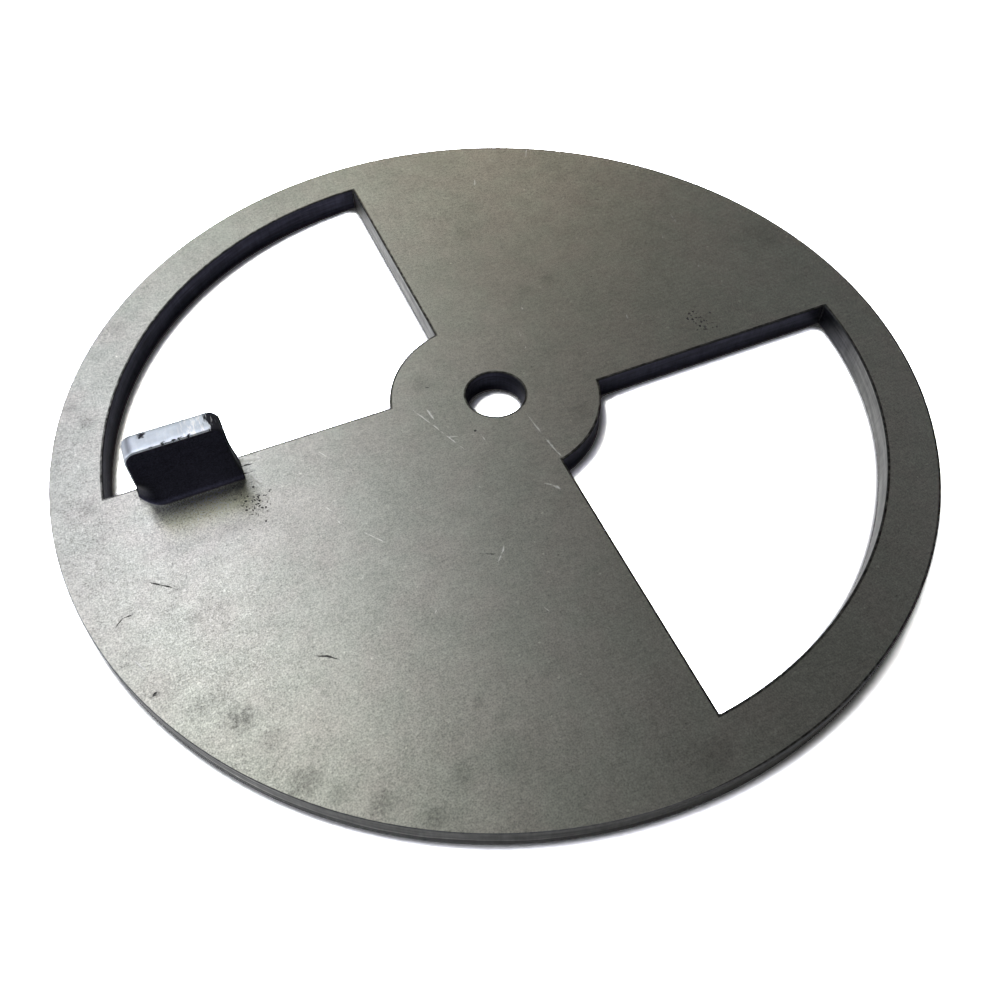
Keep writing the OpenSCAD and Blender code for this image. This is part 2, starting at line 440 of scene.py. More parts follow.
def makePaintedShadeEdge():
    # painted shade: black round bore, hub and openings, standing in for the dark these broken edges reflect, and grey
    # round the rim
    mat, tree, shader, inMm = startMaterial("paintedShadeEdgeSteel")
    spot = grain(tree, inMm, 1.1, 3.0, 0.6)
    radius = vecCalc(tree, "LENGTH", vecCalc(tree, "MULTIPLY", inMm, (1.0, 1.0, 0.0)), out=1)
    rim = remap(tree, radius, 70.0, 74.0, 1.0, 4.5)
    color = blendColor(tree, spot, (0.015, 0.015, 0.017), (0.065, 0.065, 0.065))
    feed(tree, shader.inputs["Base Color"], shade(tree, color, rim))
    shader.inputs["Roughness"].default_value = 0.5
    shader.inputs["Metallic"].default_value = 0.8
    return mat


def makeGouge(name, low, high, rough, metal):
    mat, tree, shader, inMm = startMaterial(name)
    feed(tree, shader.inputs["Base Color"], blendColor(tree, grain(tree, inMm, 2.5, 2.0, 0.6), low, high))
    shader.inputs["Roughness"].default_value = rough
    shader.inputs["Metallic"].default_value = metal
    return mat


faceSteel = makeMillFace()
wallSteel = makeCutWall()
tabSteel = makeTabEdge()
edgeSteel = makePaintedShadeEdge()
brightGouge = makeGouge("freshGougeSteel", (0.70, 0.70, 0.64), (0.95, 0.95, 0.90), 0.44, 0.55)
darkGouge = makeGouge("oldGougeSteel", (0.04, 0.04, 0.04), (0.24, 0.24, 0.22), 0.6, 1.0)
print("finishes made")


# the plate: blades, hub and rim ring from one rule, repeated round the pivot

def makePlateTree():
    inputs = {"Rim Radius": 0.1, "Opening Radius": 0.1, "Hub Radius": 0.1, "Bore Radius": 0.1,
              "Edge Setback": 0.1, "Thickness": 0.1, "Openings": 2, "First Edge": 0.1, "Columns": 8,
              "Face Steel": faceSteel, "Wall Steel": faceSteel}
    tree, given, final = startTree("pinwheelPlate", inputs)
    sweep = calc(tree, "DIVIDE", math.pi, given["Openings"])
    rim, wide = given["Rim Radius"], given["Opening Radius"]
    hub, bore = given["Hub Radius"], given["Bore Radius"]

    def sector(rows, marks, side):
        # one fan of the plate: marks are (share of the rows, radius), side is -1 on a blade, 1 in a gap
        grid = addNode(tree, "GeometryNodeMeshGrid")
        grid.inputs["Size X"].default_value = 1.0
        grid.inputs["Size Y"].default_value = 1.0
        feed(tree, grid.inputs["Vertices X"], calc(tree, "ADD", given["Columns"], 1.0))
        grid.inputs["Vertices Y"].default_value = rows + 1
        at = addNode(tree, "ShaderNodeSeparateXYZ")
        feed(tree, at.inputs[0], addNode(tree, "GeometryNodeInputPosition").outputs[0])
        across = calc(tree, "ADD", at.outputs["X"], 0.5)
        along = calc(tree, "ADD", at.outputs["Y"], 0.5)
        radius = marks[0][1]
        for (startShare, fromRadius), (endShare, toRadius) in zip(marks, marks[1:]):
            step = remap(tree, along, startShare, endShare, 0.0, calc(tree, "SUBTRACT", toRadius, fromRadius))
            radius = calc(tree, "ADD", radius, step)
        held = calc(tree, "MINIMUM", calc(tree, "MAXIMUM", radius, hub), wide)
        lap = calc(tree, "MULTIPLY", calc(tree, "ARCSINE", calc(tree, "DIVIDE", given["Edge Setback"], held)), side)
        begin = calc(tree, "ADD", given["First Edge"], lap)
        if side > 0:
            begin = calc(tree, "ADD", begin, sweep)
        span = calc(tree, "SUBTRACT", sweep, calc(tree, "MULTIPLY", lap, 2.0))
        angle = calc(tree, "ADD", begin, calc(tree, "MULTIPLY", across, span))
        spot = addNode(tree, "ShaderNodeCombineXYZ")
        feed(tree, spot.inputs["X"], calc(tree, "MULTIPLY", radius, calc(tree, "COSINE", angle)))
        feed(tree, spot.inputs["Y"], calc(tree, "MULTIPLY", radius, calc(tree, "SINE", angle)))
        place = addNode(tree, "GeometryNodeSetPosition")
        feed(tree, place.inputs["Geometry"], grid.outputs["Mesh"])
        feed(tree, place.inputs["Position"], spot.outputs[0])
        return place.outputs[0]

    hubRows, bladeRows, rimRows = 4, 22, 4
    rows = hubRows + bladeRows + rimRows
    blade = sector(rows, [(0.0, bore), (hubRows / rows, hub), ((hubRows + bladeRows) / rows, wide), (1.0, rim)], -1.0)
    hubGap = sector(hubRows, [(0.0, bore), (1.0, hub)], 1.0)
    rimGap = sector(rimRows, [(0.0, wide), (1.0, rim)], 1.0)
    pitch = addNode(tree, "GeometryNodeJoinGeometry")
    for part in (rimGap, hubGap, blade):
        tree.links.new(part, pitch.inputs[0])

    # the pitch is set round the pivot once for each opening
    spots = addNode(tree, "GeometryNodeMeshLine")
    feed(tree, spots.inputs["Count"], given["Openings"])
    spots.inputs["Offset"].default_value = (0.0, 0.0, 0.0)
    turn = addNode(tree, "ShaderNodeCombineXYZ")
    feed(tree, turn.inputs["Z"],
         calc(tree, "MULTIPLY", addNode(tree, "GeometryNodeInputIndex").outputs[0], calc(tree, "MULTIPLY", sweep, 2.0)))
    around = addNode(tree, "GeometryNodeInstanceOnPoints")
    feed(tree, around.inputs["Points"], spots.outputs["Mesh"])
    feed(tree, around.inputs["Instance"], pitch.outputs[0])
    feed(tree, around.inputs["Rotation"], turn.outputs[0])
    real = addNode(tree, "GeometryNodeRealizeInstances")
    feed(tree, real.inputs[0], around.outputs[0])
    sheet = addNode(tree, "GeometryNodeMergeByDistance")
    feed(tree, sheet.inputs["Geometry"], real.outputs[0])
    sheet.inputs["Distance"].default_value = 0.000005

    # the flat sheet becomes a plate: an under face, and the walls and top drawn up from it
    topSkin = addNode(tree, "GeometryNodeSetMaterial")
    feed(tree, topSkin.inputs["Geometry"], sheet.outputs[0])
    feed(tree, topSkin.inputs["Material"], given["Face Steel"])
    under = addNode(tree, "GeometryNodeFlipFaces")
    feed(tree, under.inputs[0], topSkin.outputs[0])
    rise = addNode(tree, "ShaderNodeCombineXYZ")
    feed(tree, rise.inputs["Z"], given["Thickness"])
    lift = addNode(tree, "GeometryNodeExtrudeMesh", mode="FACES")
    feed(tree, lift.inputs["Mesh"], topSkin.outputs[0])
    feed(tree, lift.inputs["Offset"], rise.outputs[0])
    lift.inputs["Offset Scale"].default_value = 1.0
    lift.inputs["Individual"].default_value = False
    walls = addNode(tree, "GeometryNodeSetMaterial")
    feed(tree, walls.inputs["Geometry"], lift.outputs["Mesh"])
    feed(tree, walls.inputs["Selection"], lift.outputs["Side"])
    feed(tree, walls.inputs["Material"], given["Wall Steel"])
    whole = addNode(tree, "GeometryNodeJoinGeometry")
    for part in (walls.outputs[0], under.outputs[0]):
        tree.links.new(part, whole.inputs[0])
    shut = addNode(tree, "GeometryNodeMergeByDistance")
    feed(tree, shut.inputs["Geometry"], whole.outputs[0])
    shut.inputs["Distance"].default_value = 0.000005
    tree.links.new(shut.outputs[0], final)
    return tree


plate = newObject("pinwheelPlate")
plateTree = makePlateTree()
runTree(plate, plateTree, {
    "Rim Radius": plateSizes["rimRadius"], "Opening Radius": plateSizes["openingRadius"],
    "Hub Radius": plateSizes["hubRadius"], "Bore Radius": plateSizes["boreRadius"],
    "Edge Setback": plateSizes["edgeSetback"], "Thickness": plateSizes["thickness"],
    "Openings": plateSizes["openings"], "First Edge": plateSizes["firstEdge"],
    "Columns": plateSizes["columns"], "Face Steel": faceSteel, "Wall Steel": wallSteel,
})
bake(plate, "pinwheelPlate")
print("plate blank:", len(plate.data.vertices), "points,", len(plate.data.polygons), "faces,",
      [m.name for m in plate.data.materials])


# the finger tab: a strip of the same plate, folded up at the opening's edge

tabSizes = {
    "centreX": -53.8 * mm,
    "width": 15.6 * mm,
    "flare": 0.6 * mm,      # the root is wider by this much on each side
    "flareRun": 4.8 * mm,
    "height": 11.6 * mm,    # top of the tab above the face
    "corner": 2.0 * mm,
    "foldAngle": math.radians(83.0),
    "foldRadius": 1.3 * mm,
    "backY": 4.15 * mm,     # where the back face crosses the plate's under face, drawn on
    "edgeRound": 0.28 * mm,
    "rootRun": 1.2 * mm,    # flat length that runs into the plate
    "columns": 24,
    "twist": 3.2 * mm,      # how far the foot is torn back at the tab's outer end
    "twistRun": 3.8 * mm,   # and how far in from that end it starts
}


def smoothShare(value, low, high):
    share = min(1.0, max(0.0, (value - low) / (high - low)))
    return share * share * (3 - 2 * share)


def makeTab():
    s = tabSizes
    thick = plateSizes["thickness"]
    angle, bend = s["foldAngle"], s["foldRadius"]
    frontY = s["backY"] - thick / math.sin(angle)
    foldY = frontY - bend * math.tan(angle / 2)
    foldZ = thick + bend
    leg = (s["height"] - bend * (1 - math.cos(angle))) / math.sin(angle)
    rootHalf = s["width"] / 2 + s["flare"]
    flareR = (s["flareRun"] ** 2 + s["flare"] ** 2) / (2 * s["flare"])

    def onPath(part, run, depth):
        # depth is measured from the front face, into the plate
        if part == "flat":
            return (foldY + run, thick - depth)
        if part == "fold":
            return (foldY + (bend + depth) * math.sin(run), foldZ - (bend + depth) * math.cos(run))
        y = foldY + (bend + depth) * math.sin(angle) + run * math.cos(angle)
        return (y, foldZ - (bend + depth) * math.cos(angle) + run * math.sin(angle))

    # stations from the root to the top: part, run, half width, outward direction, share of the edge round
    stations = [("flat", -s["rootRun"], rootHalf, (1.0, 0.0), 0.0), ("flat", -s["rootRun"] / 2, rootHalf, (1.0, 0.0), 0.0)]
    foldSteps = 18
    for i in range(foldSteps):
        share = i / foldSteps
        stations.append(("fold", angle * share, rootHalf, (1.0, 0.0), min(1.0, max(0.0, share - 0.35) * 2)))
    flareSteps = 10
    for i in range(flareSteps):
        run = s["flareRun"] * i / flareSteps
        back = s["flareRun"] - run
        half = s["width"] / 2 + flareR - math.sqrt(flareR ** 2 - back ** 2)
        lean = math.asin(back / flareR)
        stations.append(("leg", run, half, (math.cos(lean), math.sin(lean)), 1.0))
    straight = leg - s["corner"] - s["flareRun"]
    for i in range(5):
        stations.append(("leg", s["flareRun"] + straight * i / 5, s["width"] / 2, (1.0, 0.0), 1.0))
    cornerSteps = 9
    for i in range(cornerSteps + 1):
        a = math.pi / 2 * i / cornerSteps
        stations.append(("leg", leg - s["corner"] + s["corner"] * math.sin(a),
                         s["width"] / 2 - s["corner"] + s["corner"] * math.cos(a), (math.cos(a), math.sin(a)), 1.0))

    # the edge goes round from the front face to the back one
    roundSteps = 4
    edge = s["edgeRound"]
    profile = []
    for i in range(roundSteps + 1):
        a = math.pi / 2 * i / roundSteps
        profile.append((edge * (1 - math.sin(a)), 0.0, edge * (1 - math.cos(a))))
    profile += [(0.0, share, 0.0) for share in (0.25, 0.5, 0.75)]
    profile += [(inset, 1.0, -depth) for inset, _, depth in reversed(profile[:roundSteps + 1])]

    mesh = bmesh.new()
    count = s["columns"]
    last = len(stations) - 1

    def ringPoint(station, sideSign, inset, base, extra, slide=None):
        part, run, half, out, share = stations[station]
        shown = inset * share
        depth = base * (thick - 0.0) + extra * share
        half = half - out[0] * shown
        run = run - (out[1] * shown if part == "leg" else 0.0)
        y, z = onPath(part, run, depth)
        x = half * sideSign if slide is None else half * slide
        # the outer end of the foot is torn, so the sheet stays flat further back there
        rise = onPath(part, run, 0.0)[1] - thick
        inward = min(1.0, max(0.0, (s["twistRun"] - rootHalf - x) / s["twistRun"]))
        height = smoothShare(rise, 0.01 * mm, 0.12 * mm) * (1 - smoothShare(rise, 2.0 * mm, 6.0 * mm))
        y += s["twist"] * inward ** 2 * max(0.0, 1 - depth / thick) * height
        return mesh.verts.new((s["centreX"] + x, y, z))

    rings = []
    for inset, base, extra in profile:
        right = [ringPoint(i, 1, inset, base, extra) for i in range(last + 1)]
        top = [ringPoint(last, 1, inset, base, extra, slide=1 - 2 * j / count) for j in range(1, count)]
        left = [ringPoint(i, -1, inset, base, extra) for i in range(last + 1)]
        rings.append((right, top, left))
    wallFaces, skinFaces = [], []
    for a, b in zip(rings, rings[1:]):
        loopA = a[0] + a[1] + a[2][::-1]
        loopB = b[0] + b[1] + b[2][::-1]
        for i in range(len(loopA) - 1):
            wallFaces.append(mesh.faces.new((loopA[i], loopA[i + 1], loopB[i + 1], loopB[i])))
    ends = []
    for right, top, left in (rings[0], rings[-1]):
        inset, base, extra = profile[0] if right is rings[0][0] else profile[-1]
        rows = []
        for i in range(last):
            inner = [ringPoint(i, 1, inset, base, extra, slide=1 - 2 * j / count) for j in range(1, count)]
            rows.append([right[i]] + inner + [left[i]])
        rows.append([right[last]] + top + [left[last]])
        for low, high in zip(rows, rows[1:]):
            for j in range(count):
                skinFaces.append(mesh.faces.new((low[j], low[j + 1], high[j + 1], high[j])))
        ends.append(rows[0])
    rightEnd = [ring[0][0] for ring in rings]
    leftEnd = [ring[2][0] for ring in rings]
    mesh.faces.new(ends[0] + leftEnd[1:-1] + ends[1][::-1] + rightEnd[1:-1][::-1])
    for face in skinFaces:
        face.material_index = 0
    for face in wallFaces:
        face.material_index = 1
    bmesh.ops.remove_doubles(mesh, verts=mesh.verts, dist=1e-7)
    bmesh.ops.recalc_face_normals(mesh, faces=mesh.faces)
    shape = bpy.data.meshes.new("fingerTab")
    mesh.to_mesh(shape)
    mesh.free()
    tab = newObject("fingerTab", shape)
    for mat in (faceSteel, tabSteel):
        shape.materials.append(mat)
    return tab, foldY, rootHalf


tab, foldY, rootHalf = makeTab()
print("finger tab:", len(tab.data.vertices), "points; fold starts at y", round(foldY / mm, 3), "mm")


def boxBetween(name, low, high):
    mesh = bmesh.new()
    bmesh.ops.create_cube(mesh, size=1.0)
    for v in mesh.verts:
        v.co = Vector([low[i] if v.co[i] < 0 else high[i] for i in range(3)])
    shape = bpy.data.meshes.new(name)
    mesh.to_mesh(shape)
    mesh.free()
    return newObject(name, shape)


def joinTab():
    # edges are broken first, then the plate is opened under the fold and the tab grows out of it
    plate.data.materials.append(edgeSteel)
    soften = plate.modifiers.new("brokenEdges", "BEVEL")
    soften.width = plateSizes["edgeBreak"]
    soften.segments = 1
    soften.limit_method = "ANGLE"
    soften.angle_limit = math.radians(60)
    soften.material = len(plate.data.materials) - 1
    reach = plateSizes["edgeSetback"] + 2 * mm
    notch = boxBetween("underFold", (tabSizes["centreX"] - rootHalf, foldY, -mm),
                       (tabSizes["centreX"] + rootHalf, reach, plateSizes["thickness"] + mm))
    for name, operation, other in (("openUnderFold", "DIFFERENCE", notch), ("growTab", "UNION", tab)):
        mod = plate.modifiers.new(name, "BOOLEAN")
        mod.operation = operation
        mod.solver = "EXACT"
        mod.object = other
        mod.material_mode = "TRANSFER"
    bake(plate, "damperPlate")
    for other in (notch, tab):
        bpy.data.objects.remove(other)
    for poly in plate.data.polygons:
        poly.use_smooth = True
    plate.data.set_sharp_from_angle(angle=math.radians(32))


# marks cut into the top face: half width in mm, then the points of the stroke in mm
freshMarks = [
    (0.13, [(-15.5, 4.0), (-14.2, 0.7), (-12.75, -2.7), (-11.5, -5.8), (-9.6, -10.4)]),
    (0.20, [(-12.55, 1.7), (-12.45, 0.2), (-12.2, -1.4)]),
    (0.09, [(-11.9, -5.8), (-9.4, -6.6)]),
    (0.15, [(3.0, -4.9), (3.3, -9.3), (3.55, -11.8)]),
    (0.17, [(3.65, -12.6), (4.0, -15.2), (4.45, -17.6)]),
    (0.16, [(-6.1, -7.4), (-5.9, -9.3)]),
    (0.22, [(-0.7, -21.4), (0.3, -22.2), (1.6, -24.0)]),
    (0.16, [(-35.1, -11.7), (-34.2, -13.1)]),
    (0.16, [(-34.1, -15.0), (-33.9, -15.8)]),
    (0.13, [(-31.2, -18.5), (-29.6, -20.6), (-28.4, -22.2)]),
    (0.10, [(-32.8, 0.0), (-31.8, -1.8)]),
    (0.14, [(-13.9, -32.7), (-12.4, -31.0), (-11.5, -29.8)]),
    (0.16, [(-68.4, -26.4), (-66.9, -29.2)]),
    (0.13, [(-45.4, -27.4), (-43.9, -26.0)]),
    (0.12, [(10.1, 11.2), (10.4, 12.8)]), (0.14, [(9.5, 8.2), (9.9, 8.7)]),
    (0.15, [(13.5, 18.0), (13.8, 19.2)]), (0.13, [(30.8, 7.6), (31.2, 9.0)]),
    (0.16, [(20.3, 58.0), (21.4, 60.6)]), (0.14, [(35.0, 63.2), (36.6, 66.4)]),
    (0.16, [(51.0, 15.3), (51.5, 15.8)]), (0.13, [(54.2, 29.2), (54.6, 32.6)]),
    (0.14, [(14.3, 39.4), (14.8, 40.1)]), (0.14, [(49.0, 26.0), (49.5, 27.0)]),
    (0.16, [(-17.4, -53.1), (-17.0, -52.7)]), (0.16, [(-12.4, -58.1), (-12.0, -57.7)]),
    (0.17, [(-10.7, -42.3), (-10.2, -43.5)]), (0.15, [(-26.0, -37.0), (-25.4, -36.4)]),
    (0.15, [(-26.5, -44.5), (-26.0, -45.1)]), (0.15, [(-33.2, -56.9), (-32.8, -56.5)]),
    (0.55, [(-45.4, 3.2), (-44.4, 3.05), (-43.0, 2.8), (-41.8, 2.5)]),
    (0.40, [(-44.3, -0.7), (-43.9, -1.9), (-43.2, -3.0)]),
    (0.30, [(-43.0, -5.8), (-42.6, -6.6)]),
]
oldMarks = [
    (0.14, [(-44.5, -36.3), (-42.6, -37.3), (-40.9, -38.7)]),
    (0.14, [(-63.9, -14.5), (-61.8, -16.0), (-59.8, -17.7)]),
    (0.12, [(-15.9, -29.8), (-13.5, -31.0)]),
    (0.18, [(-46.0, 1.8), (-44.8, 1.9), (-43.2, 1.75)]),
    (0.18, [(-46.0, 0.4), (-44.8, 0.2), (-43.5, 0.3)]),
    (0.30, [(-6.9, -6.3), (-6.4, -6.7)]),
    (0.30, [(-1.9, -21.6), (-1.5, -21.8)]),
    (0.24, [(-66.9, -33.4), (-66.2, -32.8)]),
    (0.16, [(-48.6, -2.3), (-48.2, -2.4)]),
    (0.16, [(-11.0, 6.6), (-10.2, 6.0)]),
    (0.11, [(-70.0, -20.4), (-68.6, -19.2), (-66.8, -19.1)]),
]
pitPatches = {
    # middle x, y, spread x, y, count, half width
    "besideTab": (-45.2, -6.2, 1.8, 3.4, 64, 0.17),
    "farScuff": (43.4, 1.6, 2.0, 2.1, 34, 0.26),
    "leftRoot": (-61.9, 2.9, 0.5, 0.9, 7, 0.16),
}


def markLines(name, marks, patches=()):
    # the strokes as loose edges, each point with its own half width
    pick = random.Random(11)
    marks = list(marks)
    for midX, midY, spreadX, spreadY, count, half in patches:
        for _ in range(count):
            x, y = midX + pick.gauss(0, spreadX) * 0.6, midY + pick.gauss(0, spreadY) * 0.6
            turn, reach = pick.uniform(0, math.pi), pick.uniform(0.1, 0.3)
            ends = [(x - reach * math.cos(turn), y - reach * math.sin(turn)),
                    (x + reach * math.cos(turn), y + reach * math.sin(turn))]
            marks.append((half * pick.uniform(0.6, 1.2), ends))
    points, edges, halves = [], [], []
    for half, stroke in marks:
        for i, (x, y) in enumerate(stroke):
            if i:
                edges.append((len(points) - 1, len(points)))
            points.append((x * mm, y * mm, plateSizes["thickness"]))
            halves.append(half * mm)
    shape = bpy.data.meshes.new(name)
    shape.from_pydata(points, edges, [])
    widths = shape.attributes.new("halfWidth", "FLOAT", "POINT")
    widths.data.foreach_set("value", halves)
    return newObject(name, shape)


def makeMarkTree():
    tree, given, final = startTree("gougeCutters", {"Step": 0.1, "Wobble": 0.1, "Slope": 0.1, "Level": 0.1,
                                                    "Steel": faceSteel})
    line = addNode(tree, "GeometryNodeMeshToCurve")
    feed(tree, line.inputs["Mesh"], given["Geometry"])
    even = addNode(tree, "GeometryNodeResampleCurve", mode="LENGTH")
    feed(tree, even.inputs["Curve"], line.outputs[0])
    feed(tree, even.inputs["Length"], given["Step"])
    where = addNode(tree, "GeometryNodeInputPosition").outputs[0]
    drift = addNode(tree, "ShaderNodeTexNoise")
    feed(tree, drift.inputs["Vector"], where)
    drift.inputs["Scale"].default_value = 900.0
    drift.inputs["Detail"].default_value = 1.0
    push = vecCalc(tree, "SUBTRACT", drift.outputs["Color"], (0.5, 0.5, 0.5))
    push = vecCalc(tree, "MULTIPLY", push, (1.0, 1.0, 0.0))
    moved = addNode(tree, "GeometryNodeSetPosition")
    feed(tree, moved.inputs["Geometry"], even.outputs[0])
    scaled = addNode(tree, "ShaderNodeVectorMath", operation="SCALE")
    feed(tree, scaled.inputs[0], push)
    feed(tree, scaled.inputs["Scale"], given["Wobble"])
    feed(tree, moved.inputs["Offset"], scaled.outputs[0])
    # the stroke swells and thins along its way and fades out at its ends
    share = addNode(tree, "GeometryNodeSplineParameter").outputs["Factor"]
    ends = calc(tree, "MINIMUM", calc(tree, "MULTIPLY", share, 5.0),
                calc(tree, "MULTIPLY", calc(tree, "SUBTRACT", 1.0, share), 5.0))
    ends = calc(tree, "ADD", calc(tree, "MINIMUM", ends, 1.0), 0.15)
    swell = remap(tree, drift.outputs["Fac"], 0.35, 0.65, 0.25, 1.15)
    width = addNode(tree, "GeometryNodeInputNamedAttribute", data_type="FLOAT")
    width.inputs["Name"].default_value = "halfWidth"
    thick = addNode(tree, "GeometryNodeSetCurveRadius")
    feed(tree, thick.inputs["Curve"], moved.outputs[0])
    feed(tree, thick.inputs["Radius"], calc(tree, "MULTIPLY", calc(tree, "MULTIPLY", width.outputs[0], ends), swell))
    section = addNode(tree, "GeometryNodeCurvePrimitiveCircle")
    section.inputs["Resolution"].default_value = 4
    section.inputs["Radius"].default_value = 1.0
    solid = addNode(tree, "GeometryNodeCurveToMesh")
    feed(tree, solid.inputs["Curve"], thick.outputs[0])
    feed(tree, solid.inputs["Profile Curve"], section.outputs[0])
    if "Scale" in solid.inputs:
        radius = addNode(tree, "GeometryNodeInputRadius")
        tree.links.new(radius.outputs[0], solid.inputs["Scale"])
    solid.inputs["Fill Caps"].default_value = True
    # each cutter is pressed flat, and sits a little above the face so that its lower half does the cutting
    at = addNode(tree, "ShaderNodeSeparateXYZ")
    feed(tree, at.inputs[0], addNode(tree, "GeometryNodeInputPosition").outputs[0])
    drop = calc(tree, "MULTIPLY", calc(tree, "SUBTRACT", at.outputs["Z"], given["Level"]), given["Slope"])
    spot = addNode(tree, "ShaderNodeCombineXYZ")
    feed(tree, spot.inputs["X"], at.outputs["X"])
    feed(tree, spot.inputs["Y"], at.outputs["Y"])
    feed(tree, spot.inputs["Z"], calc(tree, "ADD", calc(tree, "ADD", given["Level"], drop), 0.000004))
    flat = addNode(tree, "GeometryNodeSetPosition")
    feed(tree, flat.inputs["Geometry"], solid.outputs[0])
    feed(tree, flat.inputs["Position"], spot.outputs[0])
    real = addNode(tree, "GeometryNodeRealizeInstances")
    feed(tree, real.inputs[0], flat.outputs[0])
    painted = addNode(tree, "GeometryNodeSetMaterial")
    feed(tree, painted.inputs["Geometry"], real.outputs[0])
    feed(tree, painted.inputs["Material"], given["Steel"])
    tree.links.new(painted.outputs[0], final)
    return tree


def cutMarks():
    tree = makeMarkTree()
    for name, marks, patches, steel, step, slope in (
            ("freshMarks", freshMarks, (), brightGouge, 0.30, 0.12),
            ("oldMarks", oldMarks, (), darkGouge, 0.30, 0.22),
            ("pits", (), pitPatches.values(), darkGouge, 0.10, 0.35)):
        lines = markLines(name, marks, patches)
        runTree(lines, tree, {"Step": step * mm, "Wobble": 0.22 * mm, "Slope": slope,
                              "Level": plateSizes["thickness"], "Steel": steel})
        bake(lines, name)
        mod = plate.modifiers.new(name, "BOOLEAN")
        mod.operation = "DIFFERENCE"
        mod.solver = "EXACT"
        mod.use_self = True
        mod.object = lines
        mod.material_mode = "TRANSFER"
        bake(plate, "damperPlate")
        print(name, "cut:", len(lines.data.polygons), "cutter faces")
        bpy.data.objects.remove(lines)
    mesh = bmesh.new()
    mesh.from_mesh(plate.data)
    # a gouge that runs in under the fold leaves a closed hollow there, which goes
    left, parts = set(mesh.verts), []
    while left:
        part, front = [], [left.pop()]
        while front:
            vert = front.pop()
            part.append(vert)
            others = [edge.other_vert(vert) for edge in vert.link_edges]
            front += [other for other in others if other in left]
            left.difference_update(others)
        parts.append(part)
    for part in sorted(parts, key=len)[:-1]:
        bmesh.ops.delete(mesh, geom=part, context="VERTS")
    # the flat face keeps its own shading up to each gouge
    cut = [i for i, m in enumerate(plate.data.materials) if m in (brightGouge, darkGouge)]
    for face in mesh.faces:
        if face.material_index in cut:
            for edge in face.edges:
                edge.smooth = False
    mesh.to_mesh(plate.data)
    mesh.free()


joinTab()
cutMarks()
print("plate with tab:", len(plate.data.vertices), "points,", len(plate.data.polygons), "faces,",
      [m.name for m in plate.data.materials])
check = bmesh.new()
check.from_mesh(plate.data)
print("open or odd edges:", sum(not e.is_manifold for e in check.edges), "volume cm3:", round(check.calc_volume() * 1e6, 3))
check.free()


# floor, light and camera

groundPaint = {
    "bounced": (0.6, 0.6, 0.6, 1.0),
    "mirrored": (1.6, 1.6, 1.6, 1.0),
    "seen": (40.0, 40.0, 40.0, 1.0),
    "paintedShadowReach": 2.4 * mm,         # how far the painted contact shadow round the plate's foot reaches
    "paintedShadowOpen": (0.50, 0.90),  # openness to the sky, from where the painted shadow is darkest to where it ends
    "contactCore": 0.022,        # light left in the darkest of it
}


def makeFloor():
    shape = bpy.data.meshes.new("paleFloor")
    half = 1.0
    shape.from_pydata([(-half, -half, 0), (half, -half, 0), (half, half, 0), (-half, half, 0)], [], [(0, 1, 2, 3)])
    floor = newObject("paleFloor", shape)
    mat = bpy.data.materials.new("paleFloorPaint")
    mat.use_nodes = True
    tree = mat.node_tree
    tree.nodes.remove(tree.nodes["Principled BSDF"])
    # the camera sees a clean white ground with the shadow on it, metal mirrors a pale one
    rays = addNode(tree, "ShaderNodeLightPath")
    mirrored = calc(tree, "MAXIMUM", rays.outputs["Is Glossy Ray"], rays.outputs["Is Transmission Ray"])
    paint = addNode(tree, "ShaderNodeBsdfDiffuse")
    tone = blendColor(tree, mirrored, groundPaint["bounced"], groundPaint["mirrored"])
    # painted contact shadow: the ground the camera sees is darkened by ambient occlusion close round the plate's foot
    near = addNode(tree, "ShaderNodeAmbientOcclusion", samples=8)
    near.inputs["Distance"].default_value = groundPaint["paintedShadowReach"]
    clearOf = remap(tree, near.outputs["AO"], *groundPaint["paintedShadowOpen"], 0.0, 1.0)
    clearOf = calc(tree, "ADD", calc(tree, "POWER", clearOf, 2.6), 0.003)
    seen = shade(tree, groundPaint["seen"][:3], clearOf)
    feed(tree, paint.inputs["Color"], blendColor(tree, rays.outputs["Is Camera Ray"], tone, seen))
    clear = addNode(tree, "ShaderNodeBsdfTransparent")
    oneSide = addNode(tree, "ShaderNodeMixShader")
    feed(tree, oneSide.inputs[0], addNode(tree, "ShaderNodeNewGeometry").outputs["Backfacing"])
    core = addNode(tree, "ShaderNodeEmission")
    feed(tree, core.inputs["Strength"], calc(tree, "MULTIPLY", rays.outputs["Is Camera Ray"],
                                             groundPaint["contactCore"]))
    both = addNode(tree, "ShaderNodeAddShader")
    tree.links.new(paint.outputs[0], both.inputs[0])
    tree.links.new(core.outputs[0], both.inputs[1])
    tree.links.new(both.outputs[0], oneSide.inputs[1])
    tree.links.new(clear.outputs[0], oneSide.inputs[2])
    tree.links.new(oneSide.outputs[0], tree.nodes["Material Output"].inputs["Surface"])
    shape.materials.append(mat)
    return floor


makeFloor()


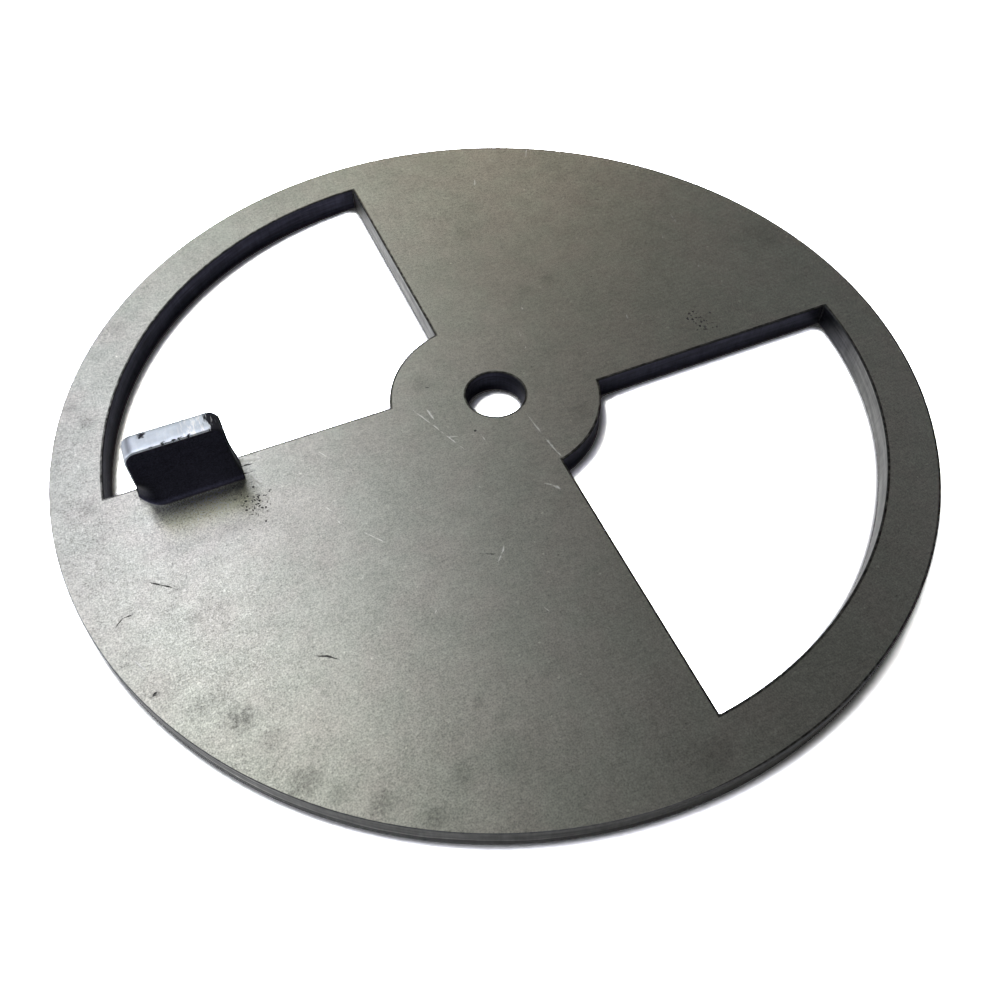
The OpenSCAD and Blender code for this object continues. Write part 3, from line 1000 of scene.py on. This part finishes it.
# each panel: heading and height in degrees round the plate, strength, size across, colour
panels = {
    "farWindow": (108.0, 50.0, 0.41, 0.45, (0.96, 0.95, 1.15)),
    "highWindow": (120.0, 65.0, 0.245, 0.36, (1.09, 1.11, 0.95)),
    "leftWindow": (162.0, 36.0, 0.70, 1.05, (0.96, 0.98, 1.08)),
    "lowLeftWindow": (170.0, 22.0, 0.22, 0.90, (0.96, 0.98, 1.08)),
    "lowBackLeftGlow": (150.0, 12.0, 0.15, 0.55, (0.96, 0.98, 1.08)),
    "backGlow": (90.0, 36.0, 0.12, 0.55, (0.98, 1.09, 0.91)),
    "lowBackGlow": (90.0, 22.0, 0.035, 0.55, (0.95, 0.95, 1.15)),
    "backRightGlow": (70.0, 22.0, 0.102, 0.55, (1.23, 1.04, 0.81)),
    "lowRightGlow": (45.0, 22.0, 0.020, 0.55, (0.93, 1.02, 1.02)),
    "rightGlow": (20.0, 36.0, 0.020, 0.55, (1.05, 1.05, 1.15)),
}
panelDistance = 1.2


def addPanel(name, heading, height, strength, size, color):
    data = bpy.data.lights.new(name, "AREA")
    data.shape = "DISK"
    data.size = size
    data.energy = strength * math.pi * panelDistance ** 2
    data.color = color
    lamp = bpy.data.objects.new(name, data)
    bpy.context.scene.collection.objects.link(lamp)
    a, e = math.radians(heading), math.radians(height)
    away = Vector((math.cos(a) * math.cos(e), math.sin(a) * math.cos(e), math.sin(e)))
    lamp.location = away * panelDistance
    lamp.rotation_euler = (-away).to_track_quat("-Z", "Y").to_euler()
    return lamp


for panelName, values in panels.items():
    addPanel(panelName, *values)

# the room's near side shows in the metal alone, so the floor keeps its shadow
nearRoom = {
    "nearLeftWall": (238.0, 28.0, 0.19, 1.2, (1.0, 1.0, 1.0)),
    "nearWall": (283.0, 28.0, 0.19, 1.2, (1.0, 1.0, 1.0)),
    "nearRightWall": (328.0, 28.0, 0.13, 1.2, (1.0, 1.0, 1.0)),
}
metalOnly = bpy.data.collections.new("metalOnly")
metalOnly.objects.link(plate)
for panelName, values in nearRoom.items():
    addPanel(panelName, *values).light_linking.receiver_collection = metalOnly

room = bpy.data.worlds.new("plainRoom")
bpy.context.scene.world = room
room.use_nodes = True
rt = room.node_tree
rays = addNode(rt, "ShaderNodeLightPath")
dim = rt.nodes["Background"]
dim.inputs["Color"].default_value = (1.0, 1.0, 1.0, 1.0)
feed(rt, dim.inputs["Strength"], remap(rt, rays.outputs["Is Camera Ray"], 0.0, 1.0, 0.012, 1.0))

shot = {
    "place": (-43.30 * mm, -99.93 * mm, 121.82 * mm),
    "turn": (math.radians(36.10), math.radians(-0.09), math.radians(-23.745)),
    "lens": 32.174,
}
lensData = bpy.data.cameras.new("shotCamera")
lensData.lens = shot["lens"]
lensData.sensor_width = 36.0
lensData.clip_start = 0.01
camera = bpy.data.objects.new("shotCamera", lensData)
bpy.context.scene.collection.objects.link(camera)
camera.location = shot["place"]
camera.rotation_euler = Euler(shot["turn"])
bpy.context.scene.camera = camera
bpy.context.scene.view_settings.view_transform = "Standard"
print("floor, light and camera set")

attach(plate, "root")
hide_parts("damper_plate")
